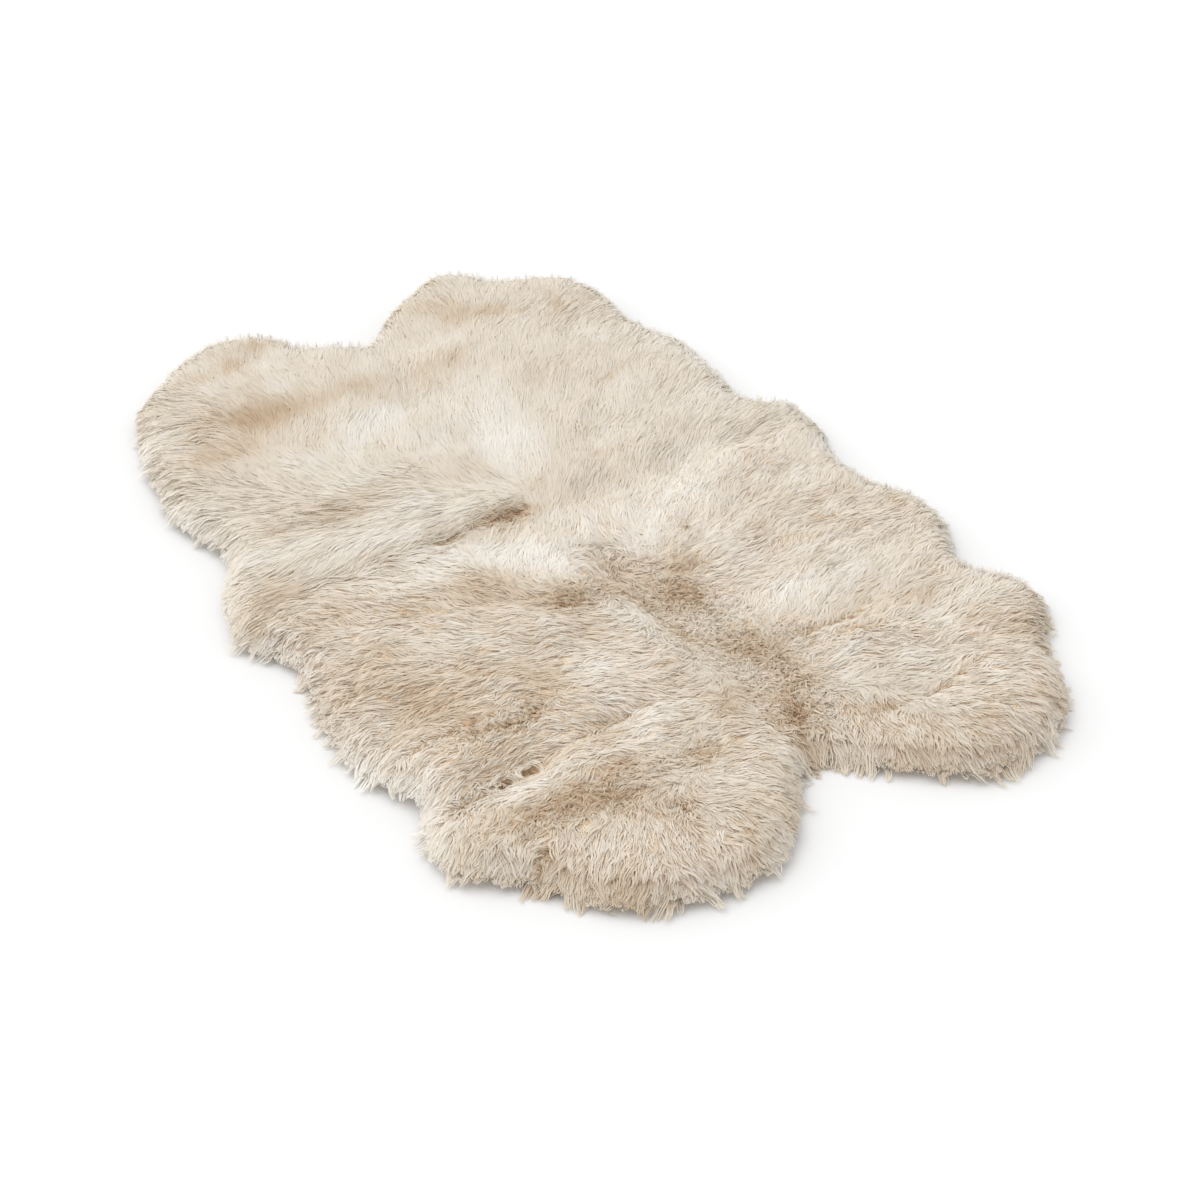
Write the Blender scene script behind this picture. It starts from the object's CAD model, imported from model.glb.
import bpy
import bmesh
import math
import numpy as np
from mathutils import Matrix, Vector
from mathutils.bvhtree import BVHTree
from mathutils.kdtree import KDTree


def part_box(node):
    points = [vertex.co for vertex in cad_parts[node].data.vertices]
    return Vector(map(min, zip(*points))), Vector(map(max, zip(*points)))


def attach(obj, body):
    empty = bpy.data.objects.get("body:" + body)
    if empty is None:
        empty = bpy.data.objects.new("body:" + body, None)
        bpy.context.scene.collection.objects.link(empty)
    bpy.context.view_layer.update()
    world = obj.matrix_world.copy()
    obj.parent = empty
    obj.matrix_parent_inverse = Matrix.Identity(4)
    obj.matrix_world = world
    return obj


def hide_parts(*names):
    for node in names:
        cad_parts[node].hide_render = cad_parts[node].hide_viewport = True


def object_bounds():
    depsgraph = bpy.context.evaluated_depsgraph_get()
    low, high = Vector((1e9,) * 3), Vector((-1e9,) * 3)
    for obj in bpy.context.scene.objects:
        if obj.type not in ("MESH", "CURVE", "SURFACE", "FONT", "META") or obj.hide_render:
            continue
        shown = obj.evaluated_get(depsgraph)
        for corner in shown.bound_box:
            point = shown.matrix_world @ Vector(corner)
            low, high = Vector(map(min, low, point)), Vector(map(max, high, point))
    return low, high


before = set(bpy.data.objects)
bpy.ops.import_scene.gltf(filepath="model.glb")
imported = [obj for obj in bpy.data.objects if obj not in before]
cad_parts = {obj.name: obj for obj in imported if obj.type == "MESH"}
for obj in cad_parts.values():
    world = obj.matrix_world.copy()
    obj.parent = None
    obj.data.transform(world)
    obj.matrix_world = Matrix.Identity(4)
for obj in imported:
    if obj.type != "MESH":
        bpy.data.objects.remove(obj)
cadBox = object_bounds()
peltNames = sorted(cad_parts)
print("frame loaded:", ", ".join(peltNames))

camera = {
    "place": (-1.348, -2.227, 1.852),   # metres, 3.04 m from the point looked at
    "lookAt": (-0.033, -0.203, 0.0),
    "viewAngle": 36.0,                  # degrees across the square picture
}


def addCamera():
    data = bpy.data.cameras.new("photoCamera")
    data.sensor_width = 36.0
    data.lens = data.sensor_width / 2 / math.tan(math.radians(camera["viewAngle"] / 2))
    obj = bpy.data.objects.new("photoCamera", data)
    bpy.context.scene.collection.objects.link(obj)
    obj.location = camera["place"]
    way = Vector(camera["lookAt"]) - Vector(camera["place"])
    obj.rotation_euler = way.to_track_quat("-Z", "Y").to_euler()
    bpy.context.scene.camera = obj


addCamera()

# The rug is worked out on square grids of values, seen from above: its height, how far in from the rim
# each place lies, and how its wool is combed and coloured there.
grid = {
    "step": 0.004,
    "margin": 0.10,
}
step = grid["step"]
low, high = cadBox
gx = np.arange(low.x - grid["margin"], high.x + grid["margin"], step)
gy = np.arange(low.y - grid["margin"], high.y + grid["margin"], step)
nx, ny = len(gx), len(gy)
gridX, gridY = np.meshgrid(gx, gy, indexing="ij")
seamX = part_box("pelt_near_left")[1].x
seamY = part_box("pelt_near_left")[1].y


def sample(field, p):
    fx = np.clip((p[:, 0] - gx[0]) / step, 0, nx - 1.001)
    fy = np.clip((p[:, 1] - gy[0]) / step, 0, ny - 1.001)
    ix, iy = fx.astype(int), fy.astype(int)
    tx, ty = fx - ix, fy - iy
    if field.ndim == 3:
        tx, ty = tx[:, None], ty[:, None]
    return ((field[ix, iy] * (1 - tx) + field[ix + 1, iy] * tx) * (1 - ty)
            + (field[ix, iy + 1] * (1 - tx) + field[ix + 1, iy + 1] * tx) * ty)


def blur(field, cells):
    for axis in (0, 1):
        for _ in range(3):
            pad = [(0, 0), (0, 0)]
            pad[axis] = (cells + 1, cells)
            total = np.cumsum(np.pad(field, pad, mode="edge"), axis=axis)
            size = field.shape[axis]
            upper = np.take(total, np.arange(2 * cells + 1, 2 * cells + 1 + size), axis=axis)
            lower = np.take(total, np.arange(size), axis=axis)
            field = (upper - lower) / (2 * cells + 1)
    return field


def softNoise(seed, cells):
    noise = blur(np.random.default_rng(seed).normal(0, 1, (nx, ny)), cells)
    return noise / noise.std()


def ramp(value, start, end):
    t = np.clip((value - start) / (end - start), 0, 1)
    return t * t * (3 - 2 * t)


def patches(rows):
    # rows: x, y, half length, half width in mm, turn in degrees, amount
    total = np.zeros((nx, ny))
    for x, y, halfLength, halfWidth, turn, amount in np.array(rows, float):
        c, s = math.cos(math.radians(turn)), math.sin(math.radians(turn))
        u, v = gridX - x / 1000, gridY - y / 1000
        along, across = (u * c + v * s) / (halfLength / 1000), (v * c - u * s) / (halfWidth / 1000)
        total += amount * np.exp(-(along ** 2 + across ** 2))
    return total


def castHeights():
    top = np.zeros((nx, ny))
    for name in peltNames:
        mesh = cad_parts[name].data
        tree = BVHTree.FromPolygons([v.co for v in mesh.vertices], [p.vertices for p in mesh.polygons])
        lo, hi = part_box(name)
        for i in np.nonzero((gx > lo.x) & (gx < hi.x))[0]:
            for j in np.nonzero((gy > lo.y) & (gy < hi.y))[0]:
                spot = tree.ray_cast(Vector((gx[i], gy[j], 1.0)), Vector((0, 0, -1)))[0]
                if spot is not None:
                    top[i, j] = max(top[i, j], spot.z)
    return top


def edgeDistance(mask):
    inner = mask.copy()
    inner[1:-1, 1:-1] &= mask[:-2, 1:-1] & mask[2:, 1:-1] & mask[1:-1, :-2] & mask[1:-1, 2:]
    rim = np.argwhere(mask & ~inner)
    tree = KDTree(len(rim))
    for k, (i, j) in enumerate(rim):
        tree.insert((gx[i], gy[j], 0), k)
    tree.balance()
    far = np.zeros((nx, ny))
    for i in range(nx):
        for j in range(ny):
            far[i, j] = tree.find((gx[i], gy[j], 0))[2]
    return np.where(mask, far, -far)


pile = {
    "slabEdge": 0.016,    # the height at which the CAD slab's side is read
    "reach": 0.006,       # the wool ends this far outside that side
    "farther": 0.001,     # and this much further out along the far rim
    "rimRadius": 0.044,   # how far in the rim's round shoulder starts
    "roundness": (1.75, 0.70),
    "crownFrom": 0.030,   # the slab's own lumpy top is followed where it is this high
    "beyond": 0.045,      # and the pile's full height is this further out
    "unevenness": (0.0014, 0.0010),
    "tufts": (0.0006, 0.0010),    # how much they stand up, on the far and near pelts
    "parted": (0.005, 0.008),     # how much lower the wool is along a parting, and how far to its sides
    "farWay": (0.545, 0.838),     # the way the camera looks, seen from above
    "nearFrom": (-0.06, 0.04),    # the near pelts' wool turns into the far ones' here, from the cross seam
}
cadTop = castHeights()
distance = blur(edgeDistance(cadTop > pile["slabEdge"]), 2)
outX, outY = np.gradient(-blur(distance, 3), step)
outward = np.stack([outX, outY], -1) / (np.hypot(outX, outY) + 1e-9)[..., None]
near = 1 - ramp(gridY, seamY + pile["nearFrom"][0], seamY + pile["nearFrom"][1])
print("outline measured")


def fromFarToNear(pair):
    return pair[0] + (pair[1] - pair[0]) * near


# How the wool is combed, in degrees from +X: x and y in mm, angle.
combRows = (
    # far left pelt
    (-90, 60, 208), (-200, 65, 208), (-320, 70, 208), (-430, 75, 200), (-530, 60, 190),
    (-60, 140, 115), (-180, 145, 165), (-300, 150, 170), (-400, 155, 168), (-490, 140, 178),
    (-60, 215, 82), (-180, 225, 132), (-300, 225, 145), (-400, 230, 148), (-510, 220, 170),
    (-50, 350, 72), (-130, 350, 75), (-250, 330, 100), (-390, 350, 118), (-500, 350, 155),
    (-60, 500, 72), (-180, 480, 55), (-300, 460, 70), (-410, 460, 100), (-500, 480, 165),
    (-60, 610, 80), (-190, 600, 80), (-310, 600, 110), (-430, 590, 172), (-500, 600, 175),
    (-90, 700, 70), (-180, 720, 78), (-280, 740, 82), (-380, 700, 115), (-250, 850, 92),
    # far right pelt
    (70, 60, 55), (180, 60, 45), (300, 50, 38), (430, 50, 12), (550, 50, 10),
    (60, 200, 62), (180, 200, 58), (300, 190, 48), (420, 180, 38), (510, 180, 30),
    (60, 350, 68), (180, 340, 62), (300, 340, 48), (420, 350, 42), (520, 340, 36),
    (60, 500, 66), (180, 500, 52), (300, 490, 44), (420, 500, 36), (500, 500, 34),
    (60, 620, 60), (180, 640, 58), (300, 620, 42), (420, 620, 45), (500, 620, 30),
    (100, 740, 60), (200, 780, 75), (300, 770, 60), (400, 730, 40), (240, 860, 88),
    # near left pelt
    (-60, -30, 42), (-130, -40, 40), (-110, -120, 48), (-250, -20, 150), (-360, -40, 138),
    (-480, -50, 150), (-570, -20, 175),
    (-230, -130, 140), (-330, -130, 150), (-450, -130, 160), (-530, -150, 180),
    (-150, -220, 150), (-250, -240, 172), (-370, -240, 172), (-490, -240, 186),
    (-130, -340, 165), (-250, -340, 178), (-370, -340, 172), (-500, -340, 190),
    (-110, -440, 168), (-230, -440, 160), (-350, -440, 195), (-500, -440, 200),
    (-110, -540, 170), (-230, -550, 172), (-360, -550, 190), (-500, -550, 205),
    (-90, -640, 345), (-200, -640, 170), (-320, -640, 190), (-440, -640, 220), (-530, -620, 215),
    (-60, -730, 320), (-150, -740, 318), (-250, -740, 250), (-340, -730, 225), (-430, -720, 222),
    (-120, -810, 300), (-200, -830, 272), (-290, -820, 258), (-380, -790, 232),
    # near right pelt
    (60, -60, 62), (150, -60, 45), (270, -60, 42), (400, -60, 30), (530, -60, 25),
    (60, -150, 100), (150, -150, 35), (270, -150, 28), (400, -150, 28), (500, -150, 24),
    (160, -240, 8), (280, -240, 2), (400, -240, 8), (500, -250, 12),
    (160, -330, 350), (280, -330, 3), (400, -330, 10), (520, -340, 10),
    (150, -420, 55), (240, -430, 30), (350, -430, 26), (480, -430, 30),
    (170, -520, 2), (280, -520, 358), (400, -520, 12), (500, -540, 16),
    (170, -610, 345), (280, -610, 338), (400, -610, 2), (520, -620, 350),
    (60, -700, 230), (140, -700, 235), (250, -690, 335), (380, -690, 342), (480, -690, 330),
    (80, -790, 250), (170, -800, 262), (260, -790, 300), (360, -780, 330),
    (190, -870, 262), (280, -860, 280), (370, -830, 305),
    # short wool along the centre seam
    (20, -150, 260), (30, -250, 280), (50, -350, 290), (60, -450, 300), (50, -550, 290), (30, -640, 285),
)

# Lines along which the wool lies away to both sides: x, y, half length in mm, turn.
partingRows = (
    (-430, -408, 62, 3), (-362, -437, 46, -8), (-288, -428, 28, 20), (-205, -508, 80, 4),
    (-482, -541, 24, 0), (-280, -600, 50, 10), (-440, -690, 20, 40), (-225, -718, 24, -40),
    (-110, -240, 44, -25), (-501, -235, 20, 88),
    (152, -702, 34, -15), (236, -716, 34, 5), (320, -702, 34, 10), (200, -506, 70, 0), (235, -545, 52, -12),
    (166, -162, 26, 80), (120, -262, 36, 0), (88, -312, 40, 60), (3, -388, 20, 60), (60, -445, 40, -40),
    (86, -540, 40, 60), (38, -640, 30, 45), (3, -706, 26, 80), (385, -268, 22, 0), (-90, 38, 60, 4),
    (-190, 24, 24, 0), (-165, 345, 38, -12), (-250, 417, 24, -10),
)
# Round hollows with locks curled about them: x, y, radius in mm.
hollowRows = ((-368, -534, 11.5), (-410, -538, 10.5))

# Where the wool lies fuller over the seam's groove: x, y, half length, half width in mm, turn, mm.
fullRows = ((-340, 20, 210, 40, 0, 11.0), (-540, 0, 60, 40, 0, 2.0), (-70, 32, 60, 26, 0, 6.0))

# Where it reaches further out over the rim (+) or less far (-), in the same columns.
reachRows = ((-530, 400, 70, 150, 0, 6.5), (-542, -494, 70, 80, 0, 5.0), (-98, -802, 60, 70, 0, 5.5),
             (373, 889, 120, 70, 0, -4.0), (-400, -790, 70, 50, 0, -3.0), (-560, -40, 60, 60, 0, 2.5))

# Where the fleece is tanner (+) or creamier (-): x, y, half length, half width in mm, turn, amount.
toneRows = (
    # far left pelt
    (-330, 560, 110, 50, 0, 0.45), (-200, 550, 120, 45, 0, 0.28), (-90, 560, 40, 40, 0, 0.32),
    (-30, 530, 30, 30, 0, 0.15), (-430, 470, 90, 35, 0, 0.30), (-300, 480, 120, 35, 0, 0.12),
    (-360, 560, 170, 150, 0, 0.08),
    (-450, 680, 60, 70, 0, 0.20), (-330, 750, 50, 22, 0, 0.30), (-255, 765, 22, 40, 0, 0.35),
    (-190, 805, 45, 22, -20, 0.40), (-330, 820, 50, 15, 0, 0.15), (-170, 690, 40, 20, 0, 0.15),
    (-195, 640, 45, 22, 0, -0.30), (-150, 765, 28, 25, 0, -0.35), (-290, 790, 35, 22, 0, -0.15),
    (-120, 415, 75, 35, 15, -0.35), (-200, 360, 140, 50, 0, -0.22), (-250, 265, 80, 25, 0, -0.30),
    (-80, 450, 30, 30, 0, -0.25), (-200, 290, 100, 40, 0, -0.10), (-455, 150, 50, 30, 0, -0.30),
    (-60, 190, 40, 90, 0, 0.15), (-330, 200, 150, 30, 0, 0.12), (-140, 118, 40, 12, 0, 0.30),
    (-470, 190, 60, 25, 0, 0.10), (-230, 130, 190, 32, 0, -0.30), (-290, 72, 190, 30, 0, -0.26),
    (-78, 38, 44, 22, 0, 0.62), (-5, 35, 50, 10, 0, 0.35), (-190, 24, 20, 10, 0, 0.50),
    (-330, 36, 100, 12, 0, 0.15), (-500, 40, 80, 50, 0, 0.42), (-560, 0, 50, 40, 0, 0.15),
    (-165, 340, 36, 6, -12, 0.35), (-250, 413, 24, 6, -10, 0.45),
    # far right pelt
    (240, 690, 80, 40, -20, 0.35), (280, 670, 45, 25, 0, 0.30), (318, 638, 20, 10, 0, 0.55),
    (190, 750, 60, 40, 30, 0.22), (160, 800, 60, 25, 40, 0.15), (405, 625, 22, 55, -15, 0.42),
    (470, 620, 30, 60, -20, 0.32), (140, 560, 45, 20, 25, 0.38), (210, 500, 60, 30, 0, 0.10),
    (330, 430, 60, 10, 35, 0.25), (330, 325, 48, 11, 30, 0.40), (390, 420, 60, 8, 35, 0.25),
    (440, 260, 50, 60, 0, 0.12), (60, 230, 60, 60, 0, -0.35), (90, 320, 70, 90, 0, -0.20),
    (80, 420, 80, 60, 0, -0.15), (160, 620, 60, 30, 0, -0.20), (180, 113, 60, 9, -8, 0.35),
    (250, 95, 60, 9, -5, 0.22), (30, 100, 40, 30, 0, 0.20), (40, 490, 20, 8, -40, 0.25),
    # near left pelt
    (-130, -60, 110, 50, -20, -0.60), (-75, -140, 40, 45, -40, -0.60), (-260, -45, 70, 35, 0, -0.45),
    (-340, -20, 60, 25, 0, -0.10), (-480, -60, 130, 80, 0, 0.38), (-340, -115, 28, 30, 0, 0.35),
    (-200, -130, 90, 45, -20, 0.40), (-110, -235, 60, 30, -25, 0.55), (-270, -170, 100, 60, 0, 0.25),
    (-501, -232, 7, 20, 0, 0.60), (-450, -260, 130, 110, 0, 0.30), (-330, -370, 140, 60, 0, 0.28),
    (-480, -390, 100, 50, 0, 0.25), (-280, -340, 50, 60, 0, 0.30), (-170, -290, 60, 30, 0, 0.25),
    (-150, -390, 50, 35, 0, -0.30), (-50, -320, 25, 50, 20, -0.30), (-225, -480, 55, 25, 0, -0.40),
    (-170, -420, 60, 20, 0, -0.20), (-110, -520, 90, 20, 10, -0.20), (-420, -408, 75, 7, 2, 0.50),
    (-355, -437, 55, 7, -8, 0.60), (-285, -429, 26, 7, 18, 0.50), (-370, -535, 16, 11, 0, 0.85),
    (-409, -535, 14, 11, 0, 0.85), (-452, -541, 11, 7, 0, 0.90), (-486, -540, 14, 6, 0, 0.90),
    (-330, -520, 20, 20, 0, 0.35), (-280, -530, 70, 12, 8, 0.20), (-400, -568, 40, 14, 0, -0.55),
    (-200, -563, 100, 13, 12, -0.42), (-150, -540, 60, 18, 0, -0.25), (-380, -630, 120, 34, -5, 0.55),
    (-290, -662, 38, 18, 0, 0.45), (-480, -610, 40, 25, 0, 0.35), (-140, -650, 38, 28, 0, 0.55),
    (-250, -610, 25, 14, 0, 0.30), (-50, -575, 40, 40, 0, 0.30), (-300, -720, 60, 30, 0, -0.15),
    (-440, -688, 14, 7, 30, 0.70), (-480, -730, 45, 30, -30, 0.55), (-400, -790, 55, 40, -45, 0.50),
    (-430, -830, 30, 12, -45, 0.70), (-375, -838, 30, 10, -40, 0.80), (-220, -716, 18, 7, -40, 0.50),
    (-300, -800, 10, 8, 0, 0.50), (-230, -760, 220, 100, 0, 0.18),
    # near right pelt
    (170, -60, 130, 80, 0, -0.28), (100, -150, 60, 45, 0, -0.32), (350, -60, 150, 90, 0, -0.12),
    (250, -180, 120, 30, 0, -0.15), (165, -162, 9, 32, 0, 0.55), (5, -170, 30, 70, 0, 0.45),
    (-20, -230, 25, 40, 0, 0.35), (110, -255, 45, 28, 0, 0.50), (70, -310, 35, 60, 0, 0.45),
    (20, -310, 30, 60, 0, 0.15), (0, -385, 24, 24, 0, 0.60), (40, -430, 34, 22, -20, 0.50),
    (72, -465, 26, 34, -40, 0.50), (90, -520, 28, 32, 0, 0.40), (95, -555, 26, 24, 0, 0.45),
    (75, -590, 32, 16, 0, 0.45), (40, -630, 30, 30, 30, 0.55), (20, -660, 20, 24, 0, 0.40),
    (3, -710, 20, 28, 0, 0.55), (30, -560, 30, 25, 0, -0.10), (230, -405, 120, 35, 0, -0.45),
    (300, -330, 90, 30, 0, -0.25), (380, -266, 25, 11, 0, 0.50), (440, -290, 110, 35, 0, 0.30),
    (525, -290, 22, 35, 0, 0.45), (320, -300, 40, 12, 0, 0.25), (200, -505, 90, 14, -3, 0.45),
    (232, -543, 58, 7, -12, 0.45), (380, -530, 22, 16, 0, 0.50), (400, -500, 120, 40, 0, 0.15),
    (210, -575, 90, 18, 0, -0.20), (152, -701, 35, 7, -15, 0.85), (236, -715, 35, 9, 5, 0.85),
    (320, -701, 35, 8, 10, 0.85), (215, -690, 10, 8, 0, 0.60), (150, -820, 120, 80, 0, 0.08),
    (130, -850, 50, 40, -45, 0.30), (470, -640, 50, 60, 0, 0.12), (220, -905, 80, 20, 0, 0.30),
    (250, -810, 20, 10, 0, 0.50), (100, -790, 30, 60, -45, 0.15),
)
tones = {
    "far": 0.41,
    "near": 0.40,
    "strength": (0.56, 0.43),     # far and near
    "mottle": (0.032, 0.046),
    "tufts": (-0.016, -0.032),
    "clouds": 0.034,
    "rim": -0.18,                 # the rim's tips, paler except on the two near ends
    "rimWidth": 0.03,
    "rimFrom": (-0.70, -0.50),    # where along the rug they turn paler
    "lock": 0.040,                # from one lock to the next, where the wool is ruffled
    "strand": 0.026,
    "sides": 0.04,                # how much tanner a lock's sides are than its middle
}
ruffle = {
    "far": 0.25,                  # the far pelts are combed silky, the near ones stand in loose locks
    "near": 0.80,
    "curled": 0.5,
    "varied": 0.16,
}

# Where short curly wool stands up between the combed locks, in the same columns.
curlRows = (
    (40, -330, 60, 110, 0, 0.8), (60, -440, 60, 60, 0, 0.9), (50, -560, 60, 70, 0, 0.9),
    (40, -640, 50, 40, 0, 0.8), (-100, -230, 60, 30, 0, 0.5), (-330, -430, 110, 30, 0, 0.6),
    (-430, -536, 70, 18, 0, 0.8), (-330, -630, 130, 35, 0, 0.7), (-150, -640, 50, 30, 0, 0.5),
    (130, -500, 60, 25, 0, 0.6),
    (220, -550, 60, 20, 0, 0.5), (-180, 45, 110, 18, 0, 0.4), (-75, 40, 45, 25, 0, 0.7),
)
combing = {
    "spread": 0.060,              # metres about each row's place
    "rimPull": (1.6, 0.035),      # the rim's wool hangs outwards, as far in as this
    "tuftLength": (0.020, 0.036),
    "tuftShare": (0.75, 0.65),    # of the short and long tufts
    "tuftPull": 0.0010,
    "tuftPullFar": 0.4,           # the far pelts' share of it
    "turned": ((8, 8), (5, 9), (0, 8)),   # degrees of broad, fine and finer unevenness, far and near
    "turnedCells": (6, 2, 3),
    "partingPull": (1.1, 0.014),
    "partingEdge": 0.004,         # within this of its line the wool turns over to the other side
    "partingSway": (0.0025, 0.0045),
}


def unit(v):
    return v / (np.linalg.norm(v, axis=-1, keepdims=True) + 1e-9)


def combField():
    field = np.zeros((nx, ny, 2))
    for x, y, angle in combRows:
        weight = np.exp(-((gridX - x / 1000) ** 2 + (gridY - y / 1000) ** 2) / combing["spread"] ** 2)
        field[..., 0] += weight * math.cos(math.radians(angle))
        field[..., 1] += weight * math.sin(math.radians(angle))
    amount, depth = combing["rimPull"]
    return unit(unit(field) + outward * (amount * np.exp(-np.clip(distance, 0, 1) / depth))[..., None])


def sway(along):
    amount, length = combing["partingSway"]
    return amount * np.sin(along / length)


def partingLines():
    # for each line: its crosswise way, the distance to its sides, and 1 along it falling to 0 past its ends
    for x, y, halfLength, turn in partingRows:
        c, s = math.cos(math.radians(turn)), math.sin(math.radians(turn))
        u, v = gridX - x / 1000, gridY - y / 1000
        along = u * c + v * s
        yield np.array([-s, c]), v * c - u * s + sway(along), np.exp(-(along / (halfLength / 1000)) ** 4)


def bareField():
    # the distance to the nearest parting's line, as far as the grid shows it
    nearest = np.full((nx, ny), 0.1)
    for _, sideways, along in partingLines():
        nearest = np.minimum(nearest, np.where(along > 0.5, np.abs(sideways), 0.1))
    return nearest


def tuftField(seed, cells, reach):
    # noise drawn out along the combing, so that locks gather into longer tufts
    noise = softNoise(seed, cells)
    total = noise.copy()
    for way in (step, -step):
        p = np.stack([gridX.ravel(), gridY.ravel()], 1)
        for _ in range(int(reach / step)):
            p = p + way * sample(smoothComb, p)
            total += sample(noise, p).reshape(nx, ny)
    return (total - total.mean()) / total.std()


def ruffledComb():
    turn = np.radians(sum(fromFarToNear(pair) * softNoise(5 + k, cells)
                          for k, (pair, cells) in enumerate(zip(combing["turned"], combing["turnedCells"]))))
    c, s = np.cos(turn), np.sin(turn)
    field = np.stack([smoothComb[..., 0] * c - smoothComb[..., 1] * s,
                      smoothComb[..., 0] * s + smoothComb[..., 1] * c], -1)
    pull = combing["tuftPull"] * fromFarToNear((combing["tuftPullFar"], 1.0))
    field[..., 0] += pull * np.gradient(tufts, step, axis=0)
    field[..., 1] += pull * np.gradient(tufts, step, axis=1)
    amount, width = combing["partingPull"]
    for way, sideways, along in partingLines():
        turnedOver = np.tanh(sideways / combing["partingEdge"])
        push = amount * turnedOver * np.exp(-(sideways / width) ** 2) * along
        field += way * push[..., None]
    return unit(field)


def pileCrown():
    crowned = cadTop > pile["crownFrom"]
    weight = blur(crowned.astype(float), 2)
    top = blur(np.where(crowned, cadTop, 0.0), 2) / np.maximum(weight, 1e-3)
    top = np.where(weight > 0.02, top, pile["beyond"])
    top += fromFarToNear(pile["unevenness"]) * softNoise(31, 4) + fromFarToNear(pile["tufts"]) * tufts
    depth, width = pile["parted"]
    for _, sideways, along in partingLines():
        top -= depth * np.exp(-(sideways / width) ** 2) * along
    return top + patches(fullRows) / 1000


def shoulder(inside, reach, radius):
    # the share of the full height at a distance in from the rim
    outer, inner = pile["roundness"]
    return (1 - (1 - np.clip((inside + reach) / radius, 0, 1)) ** outer) ** inner


smoothComb = combField()
bareMap = bareField()
tufts = sum(share * tuftField(9 + k, k, length)
            for k, (share, length) in enumerate(zip(combing["tuftShare"], combing["tuftLength"])))
comb = ruffledComb()
parting = np.gradient(smoothComb[..., 0], step, axis=0) + np.gradient(smoothComb[..., 1], step, axis=1)
farRim = np.clip(outward @ np.array(pile["farWay"]), 0, 1)
reachMap = pile["reach"] + pile["farther"] * farRim + patches(reachRows) / 1000
crown = pileCrown()
surface = crown * shoulder(distance, reachMap, pile["rimRadius"])
slopeX, slopeY = np.gradient(blur(surface, 1), step)
surfaceUp = unit(np.stack([-slopeX, -slopeY, np.ones((nx, ny))], -1))
paleRim = np.exp(-np.clip(distance, 0, 1) / tones["rimWidth"]) * ramp(gridY, *tones["rimFrom"])
toneMap = (fromFarToNear((tones["far"], tones["near"])) + fromFarToNear(tones["strength"]) * patches(toneRows)
           + fromFarToNear(tones["mottle"]) * softNoise(8, 4) + fromFarToNear(tones["tufts"]) * tufts
           + tones["clouds"] * softNoise(13, 9) + tones["rim"] * paleRim)
curlMap = np.clip(patches(curlRows), 0, 1)
ruffleMap = (fromFarToNear((ruffle["far"], ruffle["near"])) + ruffle["curled"] * curlMap
             + fromFarToNear((0.3, 1.0)) * ruffle["varied"] * softNoise(12, 7))
ruffleMap = np.maximum(ruffleMap, 0.15)
print("comb, pile, tone and curl laid out")


def linear(hexColour):
    parts = [int(hexColour[k:k + 2], 16) / 255 for k in (1, 3, 5)]
    return [c / 12.92 if c <= 0.04045 else ((c + 0.055) / 1.055) ** 2.4 for c in parts] + [1.0]


def addNode(tree, kind, place, settings=None, inputs=None):
    node = tree.nodes.new(kind)
    node.location = place
    for key, value in (settings or {}).items():
        setattr(node, key, value)
    for key, value in (inputs or {}).items():
        if isinstance(value, bpy.types.NodeSocket):
            tree.links.new(value, node.inputs[key])
        else:
            node.inputs[key].default_value = value
    return node


def newMaterial(name):
    material = bpy.data.materials.new(name)
    material.use_nodes = True
    tree = material.node_tree
    tree.nodes.clear()
    return material, tree


def setStops(node, stops):
    marks = node.color_ramp.elements
    for mark, (spot, colour) in zip((marks[0], marks[1]), (stops[0], stops[-1])):
        mark.position = spot
        mark.color = linear(colour)
    for spot, colour in stops[1:-1]:
        marks.new(spot).color = linear(colour)


# Combed, washed sheep's wool: pale cream where the sun has bleached the tips, tan down at the roots.
# Light comes through its loose fibres, so a strand glows on its shaded side too.
woolColours = {
    "stops": ((0.0, "#f9f8f4"), (0.30, "#f2ede4"), (0.55, "#e9dfce"), (0.80, "#d7c1a5"), (1.0, "#aa8762")),
    "rootTint": "#d9bc9b",
    "through": 0.34,
    "throughTint": "#fcf7ef",
}


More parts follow.
